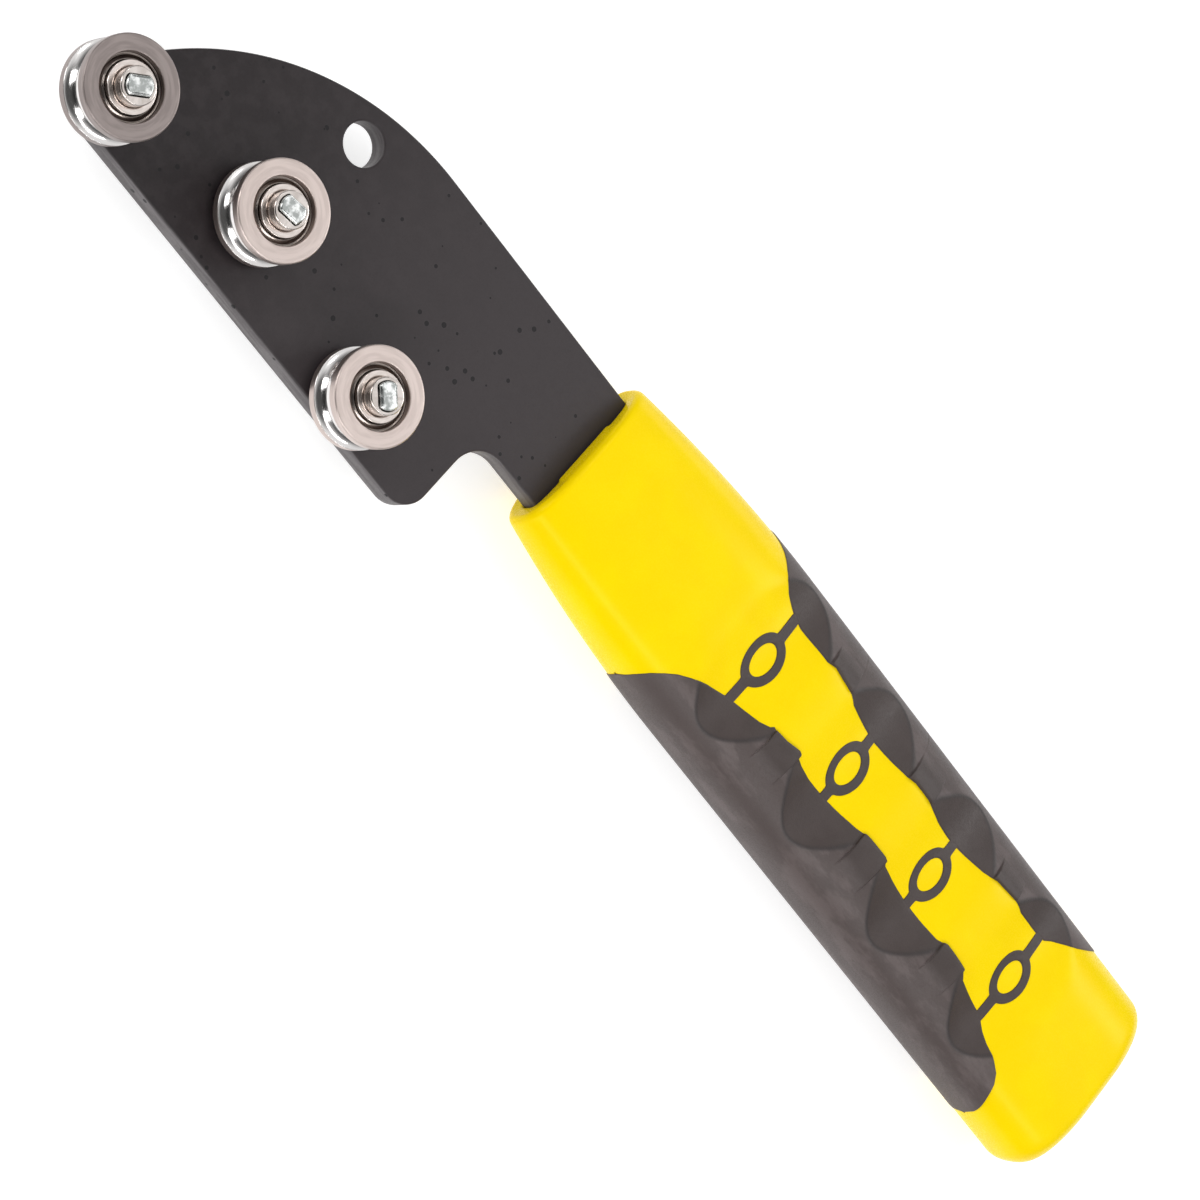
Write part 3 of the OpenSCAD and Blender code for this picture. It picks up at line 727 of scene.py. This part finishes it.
def makeSleeve():
    # Sections from the butt to the mouth, close together over both rounded ends. Past the lip the rings
    # close in on the opening, turn inwards and run down its walls.
    s = handleShape
    turn = (np.arange(s["turns"]) + 0.5) * 2 * np.pi / s["turns"]
    butt = buttX + s["buttRound"] * (1 - np.cos(np.linspace(0, np.pi / 2, s["buttSteps"])))
    body = np.linspace(butt[-1], mouthX - s["mouthRound"], s["bodySteps"])[1:]
    mouth = mouthX - s["mouthRound"] * (1 - np.sin(np.linspace(0, np.pi / 2, s["mouthSteps"])[1:]))
    x = np.concatenate([[buttX], butt[1:], body, mouth])
    grid = handlePoint(x[None, :] + 0 * turn[:, None], turn[:, None] + 0 * x[None, :], s["blend"])
    last = grid[:, -1, :]
    openY, openZ = (half * superWave(wave, s["openingSquareness"])
                    for half, wave in zip(s["openingHalf"], (np.cos(turn), np.sin(turn))))
    hole = np.stack([np.full_like(turn, mouthX), axisY + openY, middleZ + openZ], -1)
    steps = s["mouthRings"] + [(1.0, -s["openingDepth"])]
    rings = [last + (hole - last) * share + np.array([along, 0, 0]) for share, along in steps]
    grid = np.concatenate([grid, np.stack(rings, 1)], 1)
    # Towards the opening the face steps back, all but the lip over the tang.
    past = np.abs(grid[..., 1] - axisY) - s["lipHalf"]
    forward = s["lipStep"] * (1 - np.clip(past / s["lipEnd"] + 0.5, 0, 1)) * (grid[..., 2] > middleZ)
    near = np.linspace(0, 1, len(rings) + 2)
    near[-1] = 0  # the floor of the opening stays
    grid[:, -len(near):, 0] += (forward[:, -len(near):] - s["lipStep"]) * near
    mesh = surfaceMesh("handleSleeve", grid, wrapU=True, capStart=True, capEnd=True)
    addPiece(mesh, "frame", "handle_yellow", "handle_sleeve", handleYellow)


makeSleeve()
print("sleeve made")


gripShape = {
    "lift": 0.16, "edgeLift": 0.6, "depth": 1.2, "columns": 170, "step": 0.3, "blend": 0.12,
    # where each grip's wavy edge crosses the handle: distance behind the middle axle, distance from the axis
    "leftEdge": [
        (97.0, 19.2), (98.0, 17.8), (99.0, 16.5), (100.5, 15.0), (102.0, 13.7), (104.0, 12.5), (107.0, 10.9),
        (109.0, 10.1), (111.3, 9.2), (113.5, 8.7), (116.0, 8.3), (118.5, 7.9), (120.4, 7.2), (120.9, 6.6),
        (121.6, 6.9), (124.0, 6.7), (127.0, 5.95), (127.6, 6.1), (128.1, 6.75), (129.5, 7.05), (132.5, 7.1),
        (137.0, 6.7), (141.0, 6.5), (145.0, 6.2), (146.1, 5.95), (147.0, 5.7), (152.2, 5.6), (153.1, 5.8),
        (153.7, 6.4), (157.0, 6.6), (162.0, 6.7), (167.0, 7.05), (170.5, 7.2), (171.4, 6.9), (172.4, 6.5),
        (175.0, 6.6), (178.2, 6.85), (178.9, 7.4), (179.7, 8.05), (183.0, 8.4), (186.5, 8.7), (188.5, 9.4),
        (190.0, 10.4), (192.0, 11.4), (195.0, 12.5), (197.0, 13.4), (198.5, 14.7), (200.0, 16.7),
        (201.2, 18.0), (202.3, 19.2)],
    "rightEdge": [
        (99.2, 19.2), (100.2, 18.4), (101.2, 17.6), (102.2, 16.9), (103.2, 16.1), (104.1, 15.0),
        (105.0, 13.7), (106.2, 12.4), (108.0, 11.2), (111.0, 10.0), (114.0, 9.1), (118.0, 8.8), (120.9, 8.5),
        (121.9, 8.8), (122.8, 9.05), (125.0, 8.7), (128.2, 8.4), (129.2, 8.0), (130.0, 7.6), (133.0, 7.4),
        (138.0, 7.0), (143.0, 6.95), (146.2, 7.1), (147.4, 7.4), (148.3, 7.6), (152.3, 7.6), (154.2, 7.25),
        (157.0, 6.95), (161.0, 7.0), (165.0, 7.3), (169.8, 7.7), (171.4, 8.1), (172.8, 8.6), (175.0, 8.8), (178.5, 9.2),
        (179.6, 9.1), (180.8, 8.8), (184.0, 9.2), (187.0, 9.4), (188.8, 9.7), (190.0, 10.7), (192.0, 11.9),
        (195.0, 13.7), (198.0, 15.9), (200.0, 17.5), (202.4, 19.2)],
    # raised pads between the scoops: half length of a scoop's flat, height and run of the small wall behind
    # it, where from the axis the pad starts to fade out, and over what width
    "flatHalf": 9.3, "padHeight": 0.42, "wallRun": 0.12, "padSide": 10.1, "padFade": 3.5,
    # the facet's soft rim and the painted shade in the crease along it, both as differences of height;
    # the depth where that shade starts
    "rimSoft": 0.05, "creaseShadeWidth": 0.14, "creaseShadeFrom": 0.15, "creaseShadeFade": 0.3,
}


def padShare(x, y):
    # Between two scoops the grip stands a little higher: the pad starts and ends in a small wall, and fades
    # sideways by the smooth step 3t^2 - 2t^3.
    s, links = gripShape, handleShape["links"]
    lift = np.zeros_like(x)
    for ahead, behind in zip(links[:-1], links[1:]):
        front, back = headX - ahead - s["flatHalf"], headX - behind + s["flatHalf"]
        rise = np.clip((front - x) / s["wallRun"], 0, 1) * np.clip((x - back) / s["wallRun"], 0, 1)
        lift = np.maximum(lift, rise)
    fade = 1 - np.clip((np.abs(y - axisY) - s["padSide"]) / s["padFade"], 0, 1)
    return lift * fade * fade * (3 - 2 * fade)


def panelMask(x, y, turn):
    # 1 on the scooped facets and on the pads between them, 0 on the grip's rounded side.
    # The crease's painted shade is a bell curve of the height by which the side passes the facet.
    s = gripShape
    over = sideHeight(handleHalves(x)[1], turn) - faceHeight(x, y - axisY)
    depth = scoopDepth(x)
    facet = np.clip(over / s["rimSoft"], 0, 1) * (depth > s["rimSoft"])
    creaseShade = np.exp(-((over / s["creaseShadeWidth"]) ** 2)) * np.clip((depth - s["creaseShadeFrom"]) / s["creaseShadeFade"], 0, 1)
    return np.maximum(facet, padShare(x, y)), creaseShade


def makeGrip(name, side, edge, node):
    # Sections along the handle. Each runs on the lifted handle from one edge round its side to the other,
    # where the turn comes from the edge's distance to the axis, is let in at both, and goes back inside.
    s, h = gripShape, handleShape
    edge, nudge = np.array(edge), 0.01
    first, last = headX - edge[0, 0] - 2 * nudge, headX - edge[-1, 0] + 2 * nudge
    beside = (-s["wallRun"] - nudge, -nudge, nudge, s["wallRun"] + nudge)
    walls = [headX - link + d * s["flatHalf"] + k for link in h["links"] for d in (-1, 1) for k in beside]
    walls = [wall for wall in walls if last < wall < first]
    x = np.unique(np.concatenate([np.arange(last, first, s["step"]), [first], walls, headX - edge[1:-1, 0]]))
    reach = np.interp(headX - x, edge[:, 0], edge[:, 1])
    ends = np.arccos(np.clip(reach / handleHalves(x)[0], 0, 1) ** (h["squareness"] / 2))
    turn = ends[None, :] * np.linspace(-1, 1, s["columns"])[:, None]
    along = x[None, :] + 0 * turn
    y = handlePoint(along, turn, s["blend"])[..., 1]
    outer = handleLifted(along, turn, s["lift"] + s["padHeight"] * padShare(along, y), s["blend"])
    for row, sign in ((0, -1), (-1, 1)):
        lift = s["lift"] * s["edgeLift"] + s["padHeight"] * padShare(x, y[row])
        outer[row] = handleLifted(x, ends * sign, lift, s["blend"])
    sunk = np.full_like(x, -s["depth"])
    inner = [handleLifted(x, ends * k, sunk, s["blend"]) for k in (1.0, 0.66, 0.33, 0.0, -0.33, -0.66, -1.0)]
    grid = np.concatenate([outer, np.stack(inner)], 0)
    masks = np.zeros((2, *grid.shape[:2]))
    masks[:, :len(outer)] = panelMask(along, y, turn)
    if side < 0:
        grid[..., 1] = 2 * axisY - grid[..., 1]
        grid, masks = grid[::-1], masks[:, ::-1]
    mesh = surfaceMesh(name, grid, wrapU=True, capStart=True, capEnd=True)
    for label, mask in zip(("panel", "creaseShade"), masks):
        markPoints(mesh, label, mask)
    addPiece(mesh, "frame", "grip_grey", node, gripGrey)


makeGrip("gripLeft", 1, gripShape["leftEdge"], "grip_left")
makeGrip("gripRight", -1, gripShape["rightEdge"], "grip_right")
print("grips made")


linkShape = {
    "holeHalf": (2.05, 3.35), "ringHalf": (3.6, 5.3), "stemHalf": 0.95, "stemReach": (10.4, 8.2, 8.4, 10.2),
    "fillet": 0.9, "lift": 0.155, "foot": -0.6, "edge": 0.06, "quarterSteps": 90, "topSteps": 14,
}


def ellipseReach(turn, half):
    # Distance from an ellipse's middle to the ellipse.
    return 1 / np.sqrt((np.cos(turn) / half[0]) ** 2 + (np.sin(turn) / half[1]) ** 2)


def linkOutline(turn, reach):
    # Distance from a link's middle to its outline: an ellipse joined to two stems by a soft corner.
    s, least = linkShape, 1e-6
    stem = s["stemHalf"] / np.maximum(np.abs(np.cos(turn)), least)
    stem = np.minimum(stem, reach / np.maximum(np.abs(np.sin(turn)), least))
    return -softLower(-ellipseReach(turn, s["ringHalf"]), -stem, s["fillet"])


def handleTopAt(x, y, lift, up):
    # Height of the lifted handle surface over a place (x, y) near its middle strip.
    share = np.clip((y - axisY) / handleHalves(x)[0], -1, 1)
    turn = np.arccos(np.sign(share) * np.abs(share) ** (handleShape["squareness"] / 2))
    point = handlePoint(x, turn if up > 0 else -turn, handleShape["blend"])
    return np.stack([x, y, point[..., 2] + up * lift], -1)


def makeLinks():
    # Each link is a closed band round its hole: up the hole's wall, over the top and down the outside.
    # Its rows lie at a share of the way from the hole to the outline.
    s = linkShape
    turn = np.linspace(0, 2 * np.pi, 4 * s["quarterSteps"], endpoint=False)
    hole = ellipseReach(turn, s["holeHalf"])
    wall = [(0.0, s["foot"]), (0.0, s["lift"] / 2), (s["edge"], s["lift"])]
    top = [(k, s["lift"]) for k in np.linspace(2 * s["edge"], 1 - 2 * s["edge"], s["topSteps"])]
    rows = wall + top + [(1 - share, height) for share, height in wall[::-1]]
    for up, title in ((1, "Top"), (-1, "Under")):
        for number, (link, reach) in enumerate(zip(handleShape["links"], s["stemReach"]), 1):
            outline = linkOutline(turn, reach)
            grid = []
            for share, height in rows:
                radius = hole + (outline - hole) * share
                x, y = headX - link + radius * np.cos(turn), axisY + radius * np.sin(turn)
                grid.append(handleTopAt(x, y, height, up))
            grid = np.stack(grid, 1)
            if up > 0:
                grid = grid[::-1]
            mesh = surfaceMesh(f"gripLink{title}{number}", grid, wrapU=True, wrapV=True)
            markPoints(mesh, "panel", np.ones(grid.shape[:2]))
            markPoints(mesh, "creaseShade", np.zeros(grid.shape[:2]))
            addPiece(mesh, "frame", "grip_grey", "grip_links", gripGrey)


makeLinks()
print("links made")


rollerShape = {
    "outer": 8.0, "rim": 0.3, "grooveRound": 2.4, "grooveCentre": 8.5, "grooveRim": 0.1, "bore": 5.32,
    "boreRim": 0.18, "race": (4.72, 0.83),  # radius to the balls' middles, radius of their track
    "innerRing": (3.02, 4.1), "ringRims": (0.3, 0.14),
    "shieldPlace": (1.1, 0.4, 0.25),  # recess, thickness and seat in the ring
    # the shield's cone: radius, rise over its rim and rounding; its rise at the inner ring, and the gap there
    "shieldCone": [(5.12, 0.0, 0.2), (4.98, -0.1, 0.1), (4.30, 0.34, 0.1)],
    "shieldRise": 0.30, "shieldGap": 0.1,
    "collar": 3.0, "collarRims": (0.1, 0.38, 0.16), "spacer": 3.9, "spacerRim": 0.12,
    "washer": 8.0, "washerRim": 0.2, "nutHalf": 6.5, "nutRim": 0.3, "nutBevel": (0.1, 0.6),
}


def arcPoints(centre, radius, start, end, count):
    # Points on a circle between two angles in degrees, as corners without rounding.
    angle = np.radians(np.linspace(start, end, count))
    return [(centre[0] + radius * np.cos(a), centre[1] + radius * np.sin(a), 0.0) for a in angle]


def makeRollerRing(name):
    # A ring with a round groove outside, a ball race inside, and a seat for each shield. Where a circle meets
    # a straight side, its angle is the arc cosine of their distance over its radius.
    s, skin, clear = rollerShape, 0.03, 0.6
    low, high = nodeBox(name + "_roller_ring")
    middle, bore = (low[2] + high[2]) / 2, s["bore"]
    groove = np.degrees(np.arccos((s["outer"] - s["grooveCentre"]) / s["grooveRound"]))
    race = np.degrees(np.arccos((bore - s["race"][0]) / s["race"][1]))
    recess, thick, seat = s["shieldPlace"]
    top, foot = high[2] - recess, low[2] + recess
    outside = arcPoints((s["grooveCentre"], middle), s["grooveRound"], -groove, groove - 360, 33)
    rims = [(*outside[k][:2], s["grooveRim"]) for k in (0, -1)]
    corners = [(bore, low[2], s["boreRim"]), (s["outer"], low[2], s["rim"])]
    corners += [rims[0]] + outside[1:-1] + [rims[1]]
    corners += [(s["outer"], high[2], s["rim"]), (bore, high[2], s["boreRim"])]
    corners += [(bore, top, 0), (bore + seat, top, 0), (bore + seat, top - thick, 0), (bore, top - thick, 0)]
    corners += arcPoints((s["race"][0], middle), s["race"][1], race, -race, 9)
    corners += [(bore, foot + thick, 0), (bore + seat, foot + thick, 0)]
    corners += [(bore + seat, foot, 0), (bore, foot, 0)]
    loop = roundedLoop(corners, 5)
    mesh = turnedMesh(name + "RollerRing", loop, axleAt[name], 200)
    # Faces whose profile lies on the groove's circle take the polished finish.
    between = (loop + np.roll(loop, -1, 0)) / 2
    fromGroove = np.hypot(between[:, 0] - s["grooveCentre"], between[:, 1] - middle)
    polished = (fromGroove < s["grooveRound"] + skin) & (between[:, 0] > bore + clear)
    columns = np.arange(len(mesh.polygons)) % len(loop)
    mesh.polygons.foreach_set("material_index", polished.astype(np.int32)[columns])
    # The front roller's face takes the darker copy: painted shade for the less light its face mirrors.
    face = metals["rollerFacePaintedShade" if name == "front" else "rollerSatinFace"]
    groove = metals["rollerPolishedGroove"]
    addPiece(mesh, name + "_roller", "roller_steel", name + "_roller_ring", face, groove)


def makeInnerRing(name):
    # A ring with rounded rims and the inner half of the balls' track.
    s = rollerShape
    low, high = nodeBox(name + "_inner_ring")
    middle, (bore, outer), (boreRim, outerRim) = (low[2] + high[2]) / 2, s["innerRing"], s["ringRims"]
    race = np.degrees(np.arccos((s["race"][0] - outer) / s["race"][1]))
    corners = [(bore, low[2], boreRim), (outer, low[2], outerRim)]
    corners += arcPoints((s["race"][0], middle), s["race"][1], 180 + race, 180 - race, 9)
    corners += [(outer, high[2], outerRim), (bore, high[2], boreRim)]
    mesh = turnedMesh(name + "InnerRing", roundedLoop(corners, 5), axleAt[name], 120)
    addPiece(mesh, "frame", "ring_steel", name + "_inner_ring", metals["ringGroundSteel"])


def makeShield(name, label):
    # A thin pressed ring: flat at its rim, then a cone that rises towards the inner ring.
    s = rollerShape
    node = f"{name}_{label}_shield"
    low, high = nodeBox(node)
    rim, inner = s["bore"] + s["shieldPlace"][2] - 0.01, s["innerRing"][1] + s["shieldGap"]
    up = 1 if label == "upper" else -1
    face, back = (high[2], low[2]) if up > 0 else (low[2], high[2])
    corners = [(inner, back, 0), (rim, back, 0), (rim, face, 0.08)]
    corners += [(radius, face + up * rise, rounding) for radius, rise, rounding in s["shieldCone"]]
    loop = roundedLoop(corners + [(inner, face + up * s["shieldRise"], 0.05)], 4)
    mesh = turnedMesh(f"{name}{label.capitalize()}Shield", loop if up > 0 else loop[::-1], axleAt[name], 120)
    addPiece(mesh, name + "_roller", "shield_steel", node, metals["shieldPressedSteel"])


axleShape = {
    "radius": 2.5,
    # the tip: half sizes across its arcs and its flats, its turn in degrees, and the gap to its collar
    "tipHalf": (2.25, 1.5), "tipTurn": {"front": 43.0, "middle": 9.0, "rear": -41.0}, "tipGap": 0.12,
    # the tip's rounded edge: in from its side, down from its top; then the radii of its slightly crowned end
    "tipEdge": [(0, 0.32), (0.02, 0.24), (0.08, 0.14), (0.18, 0.07), (0.3, 0.04)], "tipDrop": 0.04,
    "crown": (1.85, 1.6, 1.35, 1.1, 0.85, 0.6, 0.4, 0.2),
    # the middle axle's rear end: radii of its flat, then in from its side and up from the end
    "endFlat": (0.2, 0.7, 1.3, 1.8, 2.0), "endBevel": [(0.4, 0.03), (0.2, 0.2), (0.02, 0.42), (0, 0.5)],
    # a riveted head: its radius, the rounding of its side and the rise of its dome; where its side has points
    "rivet": (3.6, 0.5, 0.12), "rivetTurns": (15, 35, 55, 75, 90),
    "beside": 0.02, "cornerTurns": 44,
}


def tipTurns(name):
    # Turns round the axle with one exactly on each corner between an arc and a flat.
    s = axleShape
    corner = np.arcsin(s["tipHalf"][1] / s["tipHalf"][0])
    stops = np.array([-corner, corner, np.pi - corner, np.pi + corner, 2 * np.pi - corner])
    stops += np.radians(s["tipTurn"][name])
    sweeps = [np.linspace(a, b, s["cornerTurns"], endpoint=False) for a, b in zip(stops[:-1], stops[1:])]
    return np.concatenate(sweeps)


def twoFlat(name, turn, grown):
    # Distance from the axle to a circle with two flats, both let out by the same amount.
    half, flat = axleShape["tipHalf"]
    across = np.abs(np.sin(turn - np.radians(axleShape["tipTurn"][name])))
    return np.minimum(half + grown, (flat + grown) / np.maximum(across, 1e-6))


def makeCollar(name):
    # A ring, round outside, whose bore follows the axle's two flats.
    s, half = rollerShape, axleShape["tipHalf"][0]
    low, high = nodeBox(name + "_axle_collar")
    bore, outer, (lowRim, outerRim, boreRim) = half + axleShape["tipGap"], s["collar"], s["collarRims"]
    corners = [(bore, low[2], 0), (outer, low[2], lowRim)]
    corners += [(outer, high[2], outerRim), (bore, high[2], boreRim)]

    def flatted(turn, r, z):  # only the points at the bore follow the flats
        return np.where(r < bore + 0.2, twoFlat(name, turn, r - half), r)

    mesh = turnedMesh(name + "AxleCollar", roundedLoop(corners, 6), axleAt[name], tipTurns(name), flatted)
    addPiece(mesh, "frame", "collar_steel", name + "_axle_collar", metals["collarTurnedSteel"])


def makeAxle(name):
    # Round through the plate, with a two-flat tip in front. Behind it the outer axles have a domed riveted
    # head, and the middle one a bevelled end inside its nut.
    s = axleShape
    low, high = nodeBox(name + "_axle")
    foot, top, behind = nodeBox(name + "_roller_ring")[0][2], high[2], plateLow[2]
    radius, half, beside = s["radius"], s["tipHalf"][0], s["beside"]
    if name == "middle":
        profile = [(r, low[2]) for r in s["endFlat"]] + [(radius - d, low[2] + up) for d, up in s["endBevel"]]
    else:
        rivet, rounding, rise = s["rivet"]
        dome, side = np.radians(np.linspace(8, 90, 10)), np.radians(s["rivetTurns"])
        profile = [(s["crown"][-1], low[2])]
        profile += [((rivet - rounding) * np.sin(a), low[2] + rise * (1 - np.cos(a))) for a in dome]
        profile += [(rivet - rounding * (1 - np.sin(a)), low[2] + rise + (rounding - rise) * (1 - np.cos(a)))
                    for a in side]
        profile += [(rivet, behind - 0.2), (rivet, behind - beside), (rivet - beside, behind)]
        profile += [(radius + beside, behind)]
    profile += [(radius, behind + beside), (radius, foot - 0.2), (radius, foot - beside), (radius, foot)]
    profile += [(half + 1e-3, foot), (half, foot + 0.1), (half, top - 0.6)]
    profile += [(half - d, top - down) for d, down in s["tipEdge"]]
    profile += [(r, top - s["tipDrop"] * (r / half) ** 2) for r in s["crown"]]

    def flatted(turn, r, z):  # in the tip, near the axle in proportion and near its side by an equal step
        near, far = r * twoFlat(name, turn, 0.0) / half, twoFlat(name, turn, r - half)
        return np.where(z > foot + 0.05, np.where(r > half - 0.35, far, near), r)

    mesh = turnedMesh(name + "Axle", np.array(profile), axleAt[name], tipTurns(name), flatted, closed=False)
    addPiece(mesh, "frame", "axle_steel", name + "_axle", metals["axleBrightSteel"])


def makeDisc(node, at, outer, rim):
    # A flat ring round an axle: the spacers, and the washer behind the plate.
    bore, boreRim = axleShape["radius"] + 0.03, 0.08
    low, high = nodeBox(node)
    corners = [(bore, low[2], boreRim), (outer, low[2], rim), (outer, high[2], rim), (bore, high[2], boreRim)]
    first, second = node.split("_")
    mesh = turnedMesh(first + second.capitalize(), roundedLoop(corners, 4), axleAt[at], 120)
    addPiece(mesh, "frame", "zinc_steel", node, metals["zincPlatedSteel"])


def makeNut():
    # A hexagon whose distance from the axle is half its width over the cosine of the turn from a flat's
    # middle. Its corners are cut by a shallow cone at both faces.
    s = rollerShape
    low, high = nodeBox("middle_nut")
    bore, across, (inset, drop) = axleShape["radius"] + 0.03, s["nutHalf"], s["nutBevel"]
    tip = across / np.cos(np.pi / 6)
    slope = [(across - inset + k * (tip - across + inset), k * drop) for k in np.linspace(0, 1, 5)]
    corners = [(bore, low[2], s["nutRim"])] + [(r, low[2] + d, 0) for r, d in slope]
    corners += [(r, high[2] - d, 0) for r, d in slope[::-1]] + [(bore, high[2], s["nutRim"])]

    def hexagon(turn, r, z):  # the round profile, cut at the flats
        return np.minimum(r, across / np.cos((turn % (np.pi / 3)) - np.pi / 6))

    mesh = turnedMesh("middleNut", roundedLoop(corners, 4), axleAt["middle"], 180, hexagon)
    addPiece(mesh, "frame", "zinc_steel", "middle_nut", metals["zincPlatedSteel"])


for name in rollerNames:
    makeRollerRing(name)
    makeInnerRing(name)
    makeShield(name, "upper")
    makeShield(name, "lower")
    makeCollar(name)
    makeAxle(name)
    makeDisc(name + "_spacer", name, rollerShape["spacer"], rollerShape["spacerRim"])
    for node, metal in (("_bearing_balls", "ballPolishedSteel"), ("_ball_cage", "cageBrass")):
        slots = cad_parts[name + node].data.materials
        slots.clear()
        slots.append(metals[metal])
makeDisc("middle_washer", "middle", rollerShape["washer"], rollerShape["washerRim"])
makeNut()
print("rollers and axles made")
